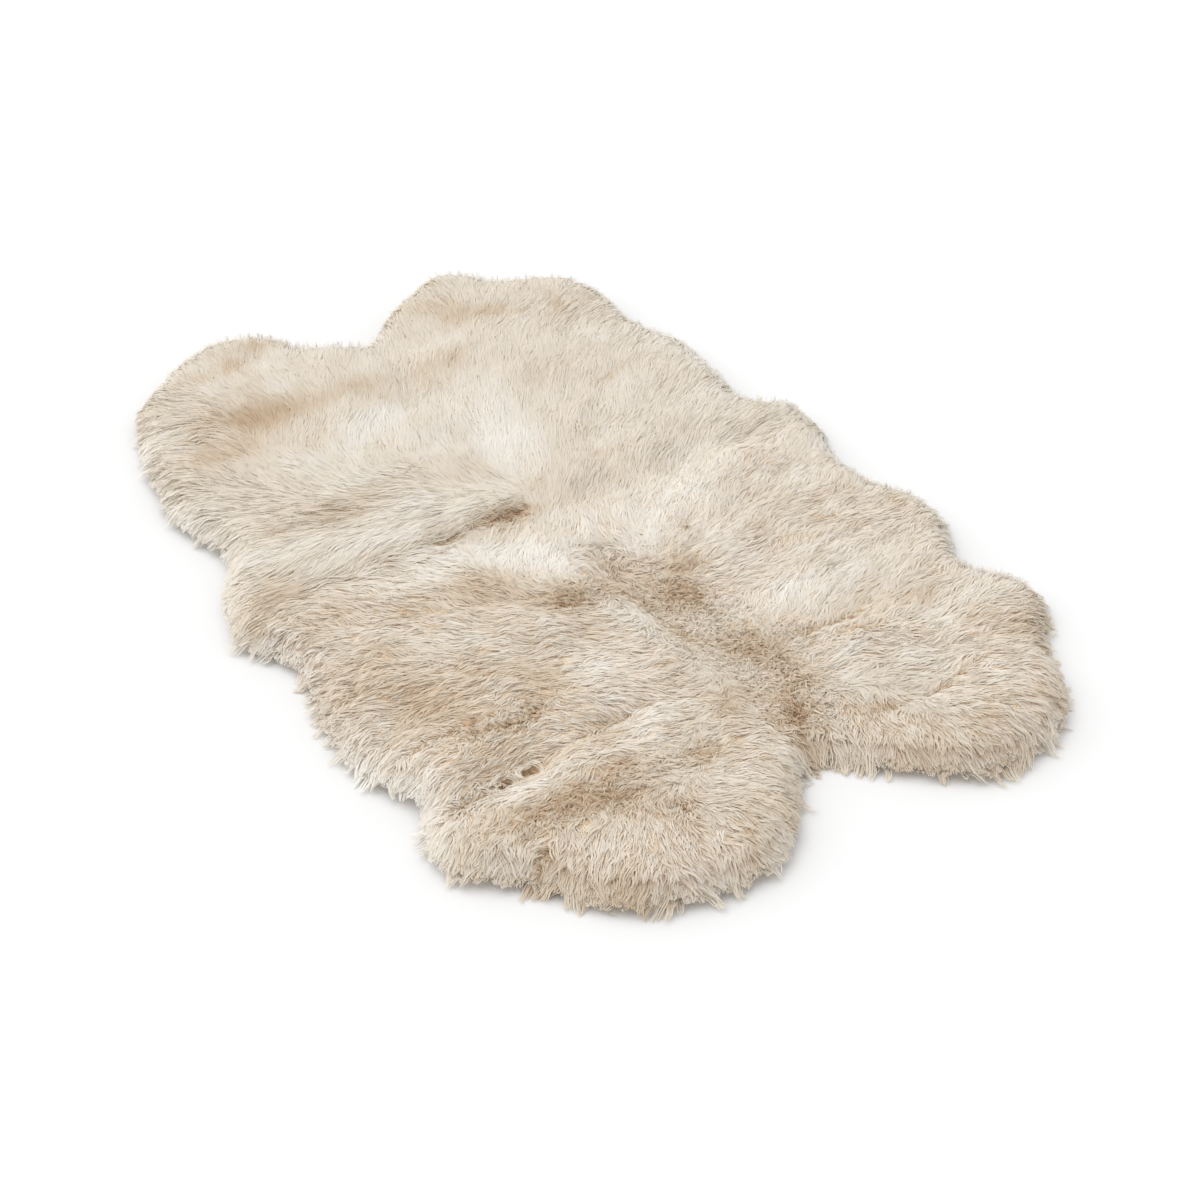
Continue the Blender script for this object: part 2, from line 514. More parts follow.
def woolMaterial():
    material, tree = newMaterial("combedWool")
    strand = addNode(tree, "ShaderNodeAttribute", (-1300, 0), {"attribute_name": "strand"})
    parts = addNode(tree, "ShaderNodeSeparateColor", (-1100, 0), inputs={"Color": strand.outputs["Color"]})
    # its fibres: streaks along each strand, five or six across it
    across = addNode(tree, "ShaderNodeMath", (-1100, -200), {"operation": "MULTIPLY"}, {
        0: strand.outputs["Alpha"], 1: 6.0})
    own = addNode(tree, "ShaderNodeMath", (-900, -300), {"operation": "MULTIPLY"}, {
        0: parts.outputs["Blue"], 1: 97.0})
    place = addNode(tree, "ShaderNodeCombineXYZ", (-700, -250), inputs={
        "X": across.outputs["Value"], "Y": parts.outputs["Green"], "Z": own.outputs["Value"]})
    fibres = addNode(tree, "ShaderNodeTexNoise", (-500, -250), inputs={
        "Vector": place.outputs["Vector"], "Scale": 1.0, "Detail": 2.0})
    shift = addNode(tree, "ShaderNodeMapRange", (-300, -50), inputs={
        "Value": fibres.outputs["Fac"], "From Min": 0.3, "From Max": 0.7, "To Min": -0.04, "To Max": 0.04})
    tone = addNode(tree, "ShaderNodeMath", (-100, 50), inputs={
        0: parts.outputs["Red"], 1: shift.outputs["Result"]})
    colour = addNode(tree, "ShaderNodeValToRGB", (100, 100), inputs={"Fac": tone.outputs["Value"]})
    setStops(colour, woolColours["stops"])
    fade = addNode(tree, "ShaderNodeMapRange", (100, -150), inputs={
        "Value": parts.outputs["Green"], "From Min": 0.0, "From Max": 0.5, "To Min": 0.45, "To Max": 0.0})
    rooted = addNode(tree, "ShaderNodeMix", (400, 100), {"data_type": "RGBA", "blend_type": "MULTIPLY"}, {
        "Factor": fade.outputs["Result"], 6: colour.outputs["Color"], 7: linear(woolColours["rootTint"])})
    dull = addNode(tree, "ShaderNodeMapRange", (400, -150), inputs={
        "Value": fibres.outputs["Fac"], "From Min": 0.3, "From Max": 0.7, "To Min": 0.72, "To Max": 0.90})
    bump = addNode(tree, "ShaderNodeBump", (400, -400), inputs={
        "Height": fibres.outputs["Fac"], "Strength": 0.15, "Distance": 0.0003})
    shader = addNode(tree, "ShaderNodeBsdfPrincipled", (650, 100), inputs={
        "Base Color": rooted.outputs[2], "Roughness": dull.outputs["Result"], "Specular IOR Level": 0.12,
        "Normal": bump.outputs["Normal"]})
    warm = addNode(tree, "ShaderNodeMix", (400, -650), {"data_type": "RGBA", "blend_type": "MULTIPLY"}, {
        "Factor": 1.0, 6: rooted.outputs[2], 7: linear(woolColours["throughTint"])})
    glow = addNode(tree, "ShaderNodeBsdfTranslucent", (650, -250), inputs={"Color": warm.outputs[2]})
    both = addNode(tree, "ShaderNodeMixShader", (950, 100), inputs={
        0: woolColours["through"], 1: shader.outputs["BSDF"], 2: glow.outputs["BSDF"]})
    addNode(tree, "ShaderNodeOutputMaterial", (1200, 100), inputs={"Surface": both.outputs["Shader"]})
    return material


def fleeceMaterial():
    material, tree = newMaterial("underFleece")
    strand = addNode(tree, "ShaderNodeAttribute", (-900, 0), {"attribute_name": "strand"})
    parts = addNode(tree, "ShaderNodeSeparateColor", (-700, 0), inputs={"Color": strand.outputs["Color"]})
    colour = addNode(tree, "ShaderNodeValToRGB", (-450, 100), inputs={"Fac": parts.outputs["Red"]})
    setStops(colour, woolColours["stops"])
    place = addNode(tree, "ShaderNodeTexCoord", (-1100, -300))
    # down of 3 mm tufts, which hang in streaks on its sides
    hanging = addNode(tree, "ShaderNodeMapping", (-900, -300), inputs={
        "Vector": place.outputs["Object"], "Scale": (1.0, 1.0, 0.16)})
    down = addNode(tree, "ShaderNodeTexNoise", (-700, -300), inputs={
        "Vector": hanging.outputs["Vector"], "Scale": 350.0, "Detail": 3.0})
    shade = addNode(tree, "ShaderNodeMapRange", (-450, -300), inputs={
        "Value": down.outputs["Fac"], "From Min": 0.35, "From Max": 0.65, "To Min": 0.85, "To Max": 0.15})
    dull = addNode(tree, "ShaderNodeMapRange", (-450, -550), inputs={
        "Value": down.outputs["Fac"], "From Min": 0.3, "From Max": 0.7, "To Min": 0.88, "To Max": 0.99})
    inner = addNode(tree, "ShaderNodeMath", (-300, -100), {"operation": "MULTIPLY"}, {
        0: shade.outputs["Result"], 1: parts.outputs["Green"]})
    deep = addNode(tree, "ShaderNodeMix", (-150, 100), {"data_type": "RGBA", "blend_type": "MULTIPLY"}, {
        "Factor": inner.outputs["Value"], 6: colour.outputs["Color"], 7: linear(woolColours["rootTint"])})
    bump = addNode(tree, "ShaderNodeBump", (-150, -300), inputs={
        "Height": down.outputs["Fac"], "Strength": 0.9, "Distance": 0.003})
    shader = addNode(tree, "ShaderNodeBsdfPrincipled", (100, 100), inputs={
        "Base Color": deep.outputs[2], "Roughness": dull.outputs["Result"], "Specular IOR Level": 0.1,
        "Normal": bump.outputs["Normal"]})
    addNode(tree, "ShaderNodeOutputMaterial", (400, 100), inputs={"Surface": shader.outputs["BSDF"]})
    return material


def hideMaterial():
    material, tree = newMaterial("suededHide")
    place = addNode(tree, "ShaderNodeTexCoord", (-900, 0))
    nap = addNode(tree, "ShaderNodeTexNoise", (-700, 0), inputs={
        "Vector": place.outputs["Object"], "Scale": 220.0, "Detail": 5.0})
    colour = addNode(tree, "ShaderNodeValToRGB", (-450, 100), inputs={"Fac": nap.outputs["Fac"]})
    setStops(colour, ((0.3, "#b99a76"), (0.7, "#cbb08d")))
    dull = addNode(tree, "ShaderNodeMapRange", (-450, -150), inputs={
        "Value": nap.outputs["Fac"], "From Min": 0.3, "From Max": 0.7, "To Min": 0.97, "To Max": 0.84})
    bump = addNode(tree, "ShaderNodeBump", (-150, -300), inputs={
        "Height": nap.outputs["Fac"], "Strength": 0.3, "Distance": 0.0005})
    shader = addNode(tree, "ShaderNodeBsdfPrincipled", (100, 100), inputs={
        "Base Color": colour.outputs["Color"], "Roughness": dull.outputs["Result"],
        "Normal": bump.outputs["Normal"]})
    addNode(tree, "ShaderNodeOutputMaterial", (400, 100), inputs={"Surface": shader.outputs["BSDF"]})
    return material


woolFinish = woolMaterial()
fleeceFinish = fleeceMaterial()
hideFinish = hideMaterial()

wool = {
    "seed": 11,
    "crown": 0.0012,         # a lock's middle stands above its sides
    "back": 0.45,            # the share of a lock's length that lies behind its middle
    "inside": 0.020,         # the long locks' middles keep this far from the slab's edge
    "least": 0.007,          # a rim lock's length, at the least
    "bare": 0.0035,          # how far from a parting's line a lock's middle keeps
    "unlevel": 0.0005,       # how far a strand lies over or under its neighbours
    "shortVaried": (0.7, 1.3),
    "curled": (38.0, 25.0),  # the degrees of wander and bend that curly wool adds
    "ruffled": (0.4, 1.1),   # how deep a lock's root lies: the least share, and the ruffling's factor
    "deepest": 0.6,          # but no deeper than this share of the pile
    "outBy": 0.45,           # the share of its length along which it comes up out of the pile
    "leastRun": 0.12,        # how much of a bend's length runs level, at the least
    "offFloor": 0.0010,      # no strand lies lower
    "tipOffFloor": (0.0012, 0.0032),
    "wayOffFloor": 0.0015,
}
# A lock is a few strands that draw together at its tip, each standing for some dozens of fibres.
longLocks = {
    "pitch": 0.0101,         # from one lock's middle to the next
    "length": 0.062,
    "nearer": -0.021,        # how much longer it is on the near pelts
    "varied": (0.8, 1.15),   # from one lock to the next
    "curled": 0.35,          # the share by which it is shorter in curly wool
    "uneven": 0.0015,        # how unevenly far they reach out over the rim
    "depth": 0.006,          # of its root, below the pile's surface
    "strands": 6,
    "bends": (0, 0.25, 0.6, 1.0),
    "shortest": 0.74,        # the shortest strand's share of the lock's length
    "halfWidth": 0.0085,     # of a lock
    "strandWidth": 0.0021,
    "clump": 0.70,           # how far its strands draw together
    "wander": 8.0,           # degrees from the way its neighbours are combed
    "bend": 13.0,            # degrees along its length
    "splay": 6.0,            # degrees between its own strands
    "wave": 0.0028,
    "waveLength": 0.027,
    "lift": 0.0012,
    "stray": (0.03, 0.007),  # the share of strands that stand out, and by how much at most
}
rimLocks = {
    "pitch": 0.0064,
    "depth": 0.006,
    "strands": 5,
    "bends": (0, 0.30, 0.56, 0.80, 1.0),
    "shortest": 0.84,
    "halfWidth": 0.0065,
    "strandWidth": 0.0019,
    "clump": 0.50,
    "wander": 11.0,
    "bend": 16.0,
    "splay": 4.0,
    "wave": 0.0020,
    "waveLength": 0.030,
    "lift": 0.0022,
    "stray": (0.08, 0.005),
    "inside": (0.004, 0.036),   # where its roots lie, in from the slab's edge
    "shoulder": 0.043,
    "reach": (-0.007, 0.003),   # where the locks meet the floor, from layer to layer
    "trail": (0.002, 0.010),    # how much further they go
    "uneven": 0.0014,           # and from one tuft to the next
    "flare": 0.003,             # the height from which their tips turn out along the floor
    "loose": (0.28, 0.006),     # the share of locks that stand out, and by how much at most
    "looser": 0.010,            # how much more on the far rim, where the pile stands freest
}
# Loose locks that stand up along the far rim.
crestLocks = {
    "pitch": 0.0072,
    "length": 0.022,
    "depth": 0.003,
    "strands": 4,
    "bends": (0, 0.33, 0.66, 1.0),
    "shortest": 0.55,
    "halfWidth": 0.0045,
    "strandWidth": 0.0014,
    "clump": 0.45,
    "wander": 26.0,
    "bend": 24.0,
    "splay": 12.0,
    "wave": 0.0018,
    "waveLength": 0.024,
    "lift": 0.0030,
    "stray": (0.30, 0.006),
    "inside": (0.006, 0.034),
    "stand": (0.002, 0.025),    # how far their tips stand off
    "from": 0.25,               # the least share of farRim at which they grow
    "tan": -0.08,
}
partLocks = {
    "pitch": 0.0066,
    "length": 0.032,
    "depth": 0.0025,
    "strands": 5,
    "bends": (0, 0.25, 0.6, 1.0),
    "shortest": 0.60,
    "halfWidth": 0.0060,
    "strandWidth": 0.0022,
    "clump": 0.50,
    "wander": 28.0,
    "bend": 20.0,
    "splay": 6.0,
    "wave": 0.0016,
    "waveLength": 0.030,
    "lift": 0.0010,
    "stray": (0.05, 0.008),
    "from": 14.0,               # the least parting of the combing, in radians a metre
}
curlLocks = {
    "pitch": 0.0054,
    "length": 0.024,
    "depth": 0.005,
    "strands": 3,
    "bends": (0, 0.2, 0.4, 0.6, 0.8, 1.0),
    "shortest": 0.70,
    "halfWidth": 0.0022,
    "strandWidth": 0.0017,
    "clump": 0.35,
    "wander": 55.0,
    "bend": 95.0,
    "splay": 5.0,
    "wave": 0.0022,
    "waveLength": 0.015,
    "lift": 0.0016,
    "stray": (0.06, 0.006),
    "from": 0.32,               # the least curl at which they stand
    "tan": 0.12,
}
# Short root-coloured wool that shows in the partings.
creaseLocks = {
    "pitch": 0.0026,            # along the parting
    "strewn": (0.002, 0.0015),  # along and across it
    "length": 0.013,
    "depth": 0.003,
    "strands": 3,
    "bends": (0, 0.33, 0.66, 1.0),
    "shortest": 0.70,
    "halfWidth": 0.0020,
    "strandWidth": 0.0016,
    "clump": 0.35,
    "wander": 50.0,
    "bend": 70.0,
    "splay": 8.0,
    "wave": 0.0016,
    "waveLength": 0.012,
    "lift": 0.0012,
    "stray": (0.05, 0.004),
    "tan": 0.24,
}
# Locks that curl round the small hollows, in rings.
ringLocks = {
    "each": 26,
    "length": (0.020, 0.038),
    "strands": 4,
    "bends": (0, 0.2, 0.4, 0.6, 0.8, 1.0),
    "shortest": 0.75,
    "halfWidth": 0.0028,
    "strandWidth": 0.0017,
    "clump": 0.45,
    "splay": 5.0,
    "wave": 0.0010,
    "waveLength": 0.020,
    "stray": (0.10, 0.004),
    "away": (0.001, 0.010),     # from the hollow's side
    "rise": (-0.007, 0.005),    # from its inner to its outer locks, against the wool around it
    "tan": (0.35, -0.20),
    "ruffled": 0.8,
    "closing": 0.10,            # the share of its radius that a lock winds in by
    "sameWay": 0.8,             # the share of locks that wind the same way
    "rootSunk": 0.004,
    "beside": 0.02,             # the wool's height is taken this far behind the hollow
    "sunk": 0.012,              # how deep the hollow is
}


def hexRoots(rng, pitch):
    xs = np.arange(low.x, high.x, pitch)
    ys = np.arange(low.y, high.y, pitch * 0.866)
    X, Y = np.meshgrid(xs, ys, indexing="ij")
    X = X + (np.arange(len(ys)) % 2) * pitch / 2
    p = np.stack([X.ravel(), Y.ravel()], 1)
    return p + rng.uniform(-0.45, 0.45, p.shape) * pitch


def turned(v, angle):
    c, s = np.cos(angle)[:, None], np.sin(angle)[:, None]
    return v * c + np.stack([-v[:, 1], v[:, 0]], 1) * s


def backTo(p, length):
    # from a lock's middle back to its root, so that locks lie as densely where the combing parts
    for _ in range(3):
        p = p - sample(comb, p) * (length * wool["back"] / 3)[:, None]
    return p


def lockPaths(rng, kind, root, length, lift, reach, radius):
    # each lock's middle line, laid along the pile's surface as it is combed
    n = len(root)
    curl = sample(curlMap, root)
    leastShare, factor = wool["ruffled"]
    ruffled = np.clip(factor * sample(ruffleMap, root), leastShare, 1)
    curledWander, curledBend = wool["curled"]
    wander = rng.normal(0, 1, n) * np.radians(kind["wander"] + curledWander * curl)
    bend = rng.normal(0, 1, n) * np.radians(kind["bend"] + curledBend * curl)
    tipLow, tipHigh = wool["tipOffFloor"]

    def level(p):
        inside = sample(distance, p)
        trailing = rimLocks["flare"] * np.exp(-np.clip(-inside - reach, 0, 1) / rimLocks["flare"])
        return np.maximum(sample(crown, p) * shoulder(inside, reach, radius), trailing)

    pos = root.copy()
    depth = np.minimum(kind["depth"] * ruffled, wool["deepest"] * level(root))
    z = level(root) - depth
    path = [np.column_stack([pos, z])]
    for before, t in zip(kind["bends"], kind["bends"][1:]):
        ds = length * (t - before)
        sunk = depth * (1 - ramp(t, 0, wool["outBy"]))
        way = unit(turned(sample(comb, pos), wander + bend * (t + before - 1)))
        run = ds * 0.9
        for _ in range(3):
            aim = np.maximum(level(pos + way * run[:, None]) - sunk + lift * t, wool["wayOffFloor"])
            run = np.sqrt(np.maximum(ds ** 2 - (aim - z) ** 2, (wool["leastRun"] * ds) ** 2))
        pos = pos + way * run[:, None]
        aim = np.maximum(level(pos) - sunk + lift * t, rng.uniform(tipLow, tipHigh, n))
        z = z + np.clip(aim - z, -ds, ds)
        path.append(np.column_stack([pos, z]))
    return np.stack(path, 1)


def clearOfGaps(p, length):
    # whether a lock's middle keeps off the partings, and all of it off the hollows
    ahead = sample(comb, p)
    clear = sample(bareMap, p) > wool["bare"]
    for x, y, radius in hollowRows:
        away = np.array([x / 1000, y / 1000]) - p
        along = np.clip((away * ahead).sum(1), -length * 0.45, length * 0.55)
        clear &= np.linalg.norm(away - ahead * along[:, None], axis=1) > radius / 1000 + 0.001
    return clear


def waysAlong(line):
    # the ways along, beside and over a strand, at each of its points
    tangent = unit(np.gradient(line, axis=1))
    side = unit(np.cross(tangent, np.array([0, 0, 1.0])))
    return tangent, side, np.cross(side, tangent)


# How the strands of a lock differ.
strands = {
    "sidesShorter": 0.12,    # the share by which its outer ones are shorter
    "shifted": 0.10,         # the share of its length by which one starts before or after the rest
    "clumped": 0.2,          # how unlike the locks draw together
    "outOfStep": 0.4,        # radians of their waves
    "drawnIn": 1.4,          # the power of their drawing together, which is strongest at the tip
    "splayHeld": 0.6,
    "width": (0.7, 1.25),
}


def strandLines(rng, kind, path, length, rough):
    # a lock's strands beside its middle line, drawing together towards its tip
    locks, points = path.shape[:2]
    bends, count = np.array(kind["bends"]), kind["strands"]
    lock = np.repeat(np.arange(locks), count)
    n = len(lock)
    across = (np.tile(np.arange(count), locks) + rng.uniform(0, 1, n)) / count * 2 - 1
    reach = rng.uniform(kind["shortest"], 1.0, n) * (1 - strands["sidesShorter"] * across ** 2)
    shift = rng.uniform(-strands["shifted"], strands["shifted"], n)
    ts = np.clip(bends * reach[:, None] + shift[:, None] * (1 - bends), 0, 1)
    seg = np.clip(np.searchsorted(bends, ts.ravel(), side="right").reshape(ts.shape) - 1, 0, points - 2)
    f = ((ts - bends[seg]) / (bends[seg + 1] - bends[seg]))[..., None]
    rows = lock[:, None]
    line = path[rows, seg] * (1 - f) + path[rows, seg + 1] * f
    _, side, over = waysAlong(line)
    clump = np.clip(kind["clump"] + rng.normal(0, strands["clumped"], locks), 0.1, 0.95)[lock][:, None]
    splay = np.tan(rng.normal(0, math.radians(kind["splay"]), n))[:, None] * (length[lock][:, None] * ts)
    phase = (rng.uniform(0, 2 * math.pi, locks)[lock] + rng.normal(0, strands["outOfStep"], n))[:, None]
    turns = (length[lock] / kind["waveLength"])[:, None] * ts
    rough = rough[lock][:, None]
    wave = kind["wave"] * rough * np.sin(phase + turns * 2 * math.pi) * ts
    drawn = 1 - clump * ts ** strands["drawnIn"]
    splay = splay * (1 - strands["splayHeld"] * ts)
    sideways = kind["halfWidth"] * across[:, None] * drawn + wave + splay
    hump = wool["crown"] * rough * (0.5 - across[:, None] ** 2) * np.sin(math.pi * np.clip(ts, 0.1, 0.95))
    share, most = kind["stray"]
    stray = rng.uniform(0, most, n) * (rng.uniform(0, 1, n) < share)
    up = hump + rng.normal(0, wool["unlevel"], n)[:, None] * rough + stray[:, None] * ts ** 2
    line = line + side * sideways[..., None] + over * up[..., None]
    line[..., 2] = np.maximum(line[..., 2], wool["offFloor"])
    return line, lock, across, ts


ribbon = {
    "roll": 18.0,                    # degrees about its own length, more or less
    "taperAt": (0, 0.3, 0.75, 1),
    "taper": (0.8, 1.0, 0.7, 0.0),   # its width there
    # its shading normals are mixed from the pile's, its path's and its own, and lean to its sides
    "pile": 0.85,
    "path": 0.30,
    "own": 0.20,
    "tilt": 0.12,
    "rounded": 0.15,
}


def ribbonParts(rng, line, across, width, rough):
    # a strand is a narrow ribbon: pairs of points and one at the tip, its faces upwards
    n, points = line.shape[:2]
    tangent, side, over = waysAlong(line)
    roll = rng.normal(0, math.radians(ribbon["roll"]), n)[:, None, None]
    flat = side * np.cos(roll) + over * np.sin(roll)
    face = np.cross(flat, tangent)
    taper = np.interp(np.linspace(0, 1, points), ribbon["taperAt"], ribbon["taper"])
    half = width[:, None, None] / 2 * taper[None, :, None]
    up = sample(surfaceUp, line.reshape(-1, 3)[:, :2]).reshape(line.shape)
    tilt = (across * ribbon["tilt"] * rough)[:, None, None]
    shade = unit(up * ribbon["pile"] + over * ribbon["path"] + face * ribbon["own"] + side * tilt)
    co = np.empty((n, 2 * points - 1, 3), np.float32)
    normal = np.empty_like(co)
    for first, way in ((0, -1), (1, 1)):
        co[:, first:-1:2] = (line + way * flat * half)[:, :-1]
        normal[:, first:-1:2] = unit(shade + way * flat * ribbon["rounded"])[:, :-1]
    co[:, -1] = line[:, -1]
    normal[:, -1] = shade[:, -1]
    return co, normal


def perVertex(values):
    return np.concatenate([np.repeat(values[:, :-1], 2, axis=1), values[:, -1:]], 1)


def bakeCells(points, count):
    # every strand has a cell of its own in the square that its colours are kept in
    across = int(math.ceil(math.sqrt(count)))
    cell = np.arange(count)
    x, y = (cell % across)[:, None], (cell // across)[:, None]
    t = np.linspace(0.12, 0.88, points)
    u = np.concatenate([np.tile([0.15, 0.85], points - 1), [0.5]])
    v = np.concatenate([np.repeat(t[:-1], 2), [t[-1]]])
    return np.stack([(x + u) / across, (y + v) / across], -1)


def ribbonObject(name, co, normal, value):
    # all strands of a piece as one mesh, each of quads along it and a triangle at its tip
    n, each = co.shape[:2]
    pairs = (each - 1) // 2
    quads = [corner for q in range(pairs - 1) for corner in (2 * q, 2 * q + 1, 2 * q + 3, 2 * q + 2)]
    corners = np.array(quads + [2 * pairs - 2, 2 * pairs - 1, 2 * pairs])
    loop = (np.arange(n)[:, None] * each + corners).ravel()
    size = np.tile([4] * (pairs - 1) + [3], n)
    mesh = bpy.data.meshes.new(name)
    mesh.vertices.add(n * each)
    mesh.vertices.foreach_set("co", co.ravel())
    mesh.loops.add(len(loop))
    mesh.loops.foreach_set("vertex_index", loop.astype(np.int32))
    mesh.polygons.add(len(size))
    mesh.polygons.foreach_set("loop_start", np.concatenate([[0], np.cumsum(size)[:-1]]).astype(np.int32))
    mesh.polygons.foreach_set("use_smooth", np.ones(len(size), bool))
    mesh.update()
    attribute = mesh.color_attributes.new("strand", "FLOAT_COLOR", "POINT")
    attribute.data.foreach_set("color", value.astype(np.float32).ravel())
    layer = mesh.uv_layers.new(name="OFBake")
    layer.data.foreach_set("uv", bakeCells(pairs + 1, n)[:, corners].astype(np.float32).ravel())
    mesh.normals_split_custom_set_from_vertices(normal.reshape(-1, 3))
    obj = bpy.data.objects.new(name, mesh)
    bpy.context.scene.collection.objects.link(obj)
    print(name, n, "strands,", int((size - 2).sum()), "triangles")
    return obj


def dressLocks(rng, kind, path, length, rough, extraTone):
    # strands along these paths, each point with its tone, height up the strand and place across it
    line, lock, across, ts = strandLines(rng, kind, path, length, rough)
    middle = (path[:, 1, :2] + path[:, -1, :2]) / 2
    lockTone = sample(toneMap, middle) + extraTone + rng.normal(0, tones["lock"], len(path)) * rough ** 2
    strandTone = rng.normal(0, tones["strand"], len(lock)) + tones["sides"] * (across ** 2 - 0.3)
    strandTone = strandTone * rough[lock]
    corners = 2 * len(kind["bends"]) - 1
    value = np.ones((len(lock), corners, 4))
    value[..., 0] = (lockTone[lock] + strandTone)[:, None]
    value[..., 1] = 1 - (1 - perVertex(ts)) * np.minimum(rough[lock], 1)[:, None]
    value[..., 2] = rng.uniform(0, 1, len(lock))[:, None]
    value[..., 3] = np.append(np.arange(corners - 1) % 2, 0.5)
    width = kind["strandWidth"] * rng.uniform(*strands["width"], len(lock))
    co, normal = ribbonParts(rng, line, across, width, rough[lock])
    return co, normal, value


# Each way of growing takes the kind of lock and the places of its roots, or of its middles.
def growLocks(rng, kind, root, length, lift, reach, radius):
    rough = sample(ruffleMap, root)
    lift = lift + rng.normal(0, 1, len(root)) * kind["lift"] * (0.5 + rough)
    path = lockPaths(rng, kind, root, length, lift, reach, radius)
    return dressLocks(rng, kind, path, length, rough, kind.get("tan", 0))


def peltOf(p):
    return np.where(p[:, 0] < seamX, 0, 1) + np.where(p[:, 1] < seamY, 2, 0)


def growLong(rng, kind, middle):
    length = kind["length"] + kind["nearer"] * sample(near, middle)
    length = length * rng.uniform(*kind["varied"], len(middle))
    length = length * (1 - kind["curled"] * sample(curlMap, middle))
    clear = clearOfGaps(middle, length)
    middle, length = middle[clear], length[clear]
    reach = sample(reachMap, middle) + rng.normal(0, kind["uneven"], len(middle))
    return growLocks(rng, kind, backTo(middle, length), length, 0, reach, pile["rimRadius"])


def wayDown(inside, reach, radius, height):
    # the length along the rim's round shoulder, from a place down to the floor: 45 wide for 55 high
    share = np.linspace(0, 1, 200)
    steps = np.hypot(0.45 * np.diff(share), 0.55 * np.diff(shoulder(share, 0, 1)))
    lengths = np.concatenate([[0], np.cumsum(steps)])
    return (radius + height) * np.interp((inside + reach) / radius, share, lengths)


def growRim(rng, kind, root):
    reach = sample(reachMap, root) + rng.uniform(*kind["reach"], len(root))
    radius = reach + kind["shoulder"]
    trail = rng.uniform(*kind["trail"], len(root)) + kind["uneven"] * sample(tufts, root)
    length = wayDown(sample(distance, root), reach, radius, sample(crown, root)) + trail
    length = np.maximum(length, wool["least"])
    share, most = kind["loose"]
    most = most + kind["looser"] * sample(farRim, root)
    loose = most * rng.uniform(0, 1, len(root)) * (rng.uniform(0, 1, len(root)) < share)
    return growLocks(rng, kind, root, length, loose, reach, radius)


def growShort(rng, kind, root, lift=0):
    length = kind["length"] * rng.uniform(*wool["shortVaried"], len(root))
    return growLocks(rng, kind, root, length, lift, sample(reachMap, root), pile["rimRadius"])


def growCrest(rng, kind, root):
    stand = rng.uniform(*kind["stand"], len(root)) * sample(farRim, root)
    return growShort(rng, kind, root, stand)


def creaseRoots(rng):
    roots = []
    along, across = creaseLocks["strewn"]
    for x, y, halfLength, turn in partingRows:
        u = np.arange(-halfLength / 1000, halfLength / 1000, creaseLocks["pitch"])
        u = u + rng.uniform(-along, along, len(u))
        v = rng.normal(0, across, len(u)) - sway(u)
        c, s = math.cos(math.radians(turn)), math.sin(math.radians(turn))
        roots.append(np.column_stack([x / 1000 + u * c - v * s, y / 1000 + u * s + v * c]))
    return np.concatenate(roots)


def growRings(rng, kind, centre):
    # each lock winds round its hollow
    centre = np.repeat(centre, kind["each"], axis=0)
    n = len(centre)
    share = rng.uniform(0, 1, n)
    inner, outer = kind["away"]
    radius = centre[:, 2] + inner + (outer - inner) * share
    length = rng.uniform(*kind["length"], n)
    angle = rng.uniform(0, 2 * math.pi, n)
    way = np.where(rng.uniform(0, 1, n) < kind["sameWay"], 1, -1)
    top = sample(surface, centre[:, :2] + np.array([0.0, kind["beside"]]))
    innerRise, outerRise = kind["rise"]
    path = []
    for t in kind["bends"]:
        r = radius * (1 - kind["closing"] * t)
        turn = angle + way * length * t / radius
        z = top + innerRise + (outerRise - innerRise) * share - kind["rootSunk"] * (1 - t) ** 2
        path.append(np.column_stack([centre[:, 0] + r * np.cos(turn), centre[:, 1] + r * np.sin(turn), z]))
    path = np.stack(path, 1)
    innerTan, outerTan = kind["tan"]
    own = innerTan + (outerTan - innerTan) * share - sample(toneMap, path[:, 2, :2]) + tones["near"]
    return dressLocks(rng, kind, path, length, np.full(n, kind["ruffled"]), own)


def rootsAtRim(rng, kind):
    p = hexRoots(rng, kind["pitch"])
    inside = sample(distance, p)
    return p[(inside > kind["inside"][0]) & (inside < kind["inside"][1])]


def rootsWhere(rng, kind, field):
    p = hexRoots(rng, kind["pitch"])
    p = p[(sample(field, p) > kind["from"]) & (sample(distance, p) > wool["inside"])]
    length = np.full(len(p), kind["length"])
    return p[clearOfGaps(p + sample(comb, p) * (0.5 * length)[:, None], length)]


def growWool():
    rng = np.random.default_rng(wool["seed"])
    middles = hexRoots(rng, longLocks["pitch"])
    crest = rootsAtRim(rng, crestLocks)
    layers = (
        ("wool", growLong, longLocks, middles[sample(distance, middles) > wool["inside"]]),
        ("rim", growRim, rimLocks, rootsAtRim(rng, rimLocks)),
        ("crest", growCrest, crestLocks, crest[sample(farRim, crest) > crestLocks["from"]]),
        ("parted", growShort, partLocks, rootsWhere(rng, partLocks, parting)),
        ("curls", growShort, curlLocks, rootsWhere(rng, curlLocks, curlMap)),
        ("creases", growShort, creaseLocks, creaseRoots(rng)),
        ("rings", growRings, ringLocks, np.array(hollowRows) / 1000),
    )
    made = {}
    for k, name in enumerate(("FarLeft", "FarRight", "NearLeft", "NearRight")):
        made[name] = []
        for word, grow, kind, roots in layers:
            roots = roots[peltOf(roots) == k]
            if len(roots) == 0:
                continue
            obj = ribbonObject(word + name, *grow(rng, kind, roots))
            obj.data.materials.append(woolFinish)
            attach(obj, "root")
            made[name].append(obj)
    return made


woolPieces = growWool()

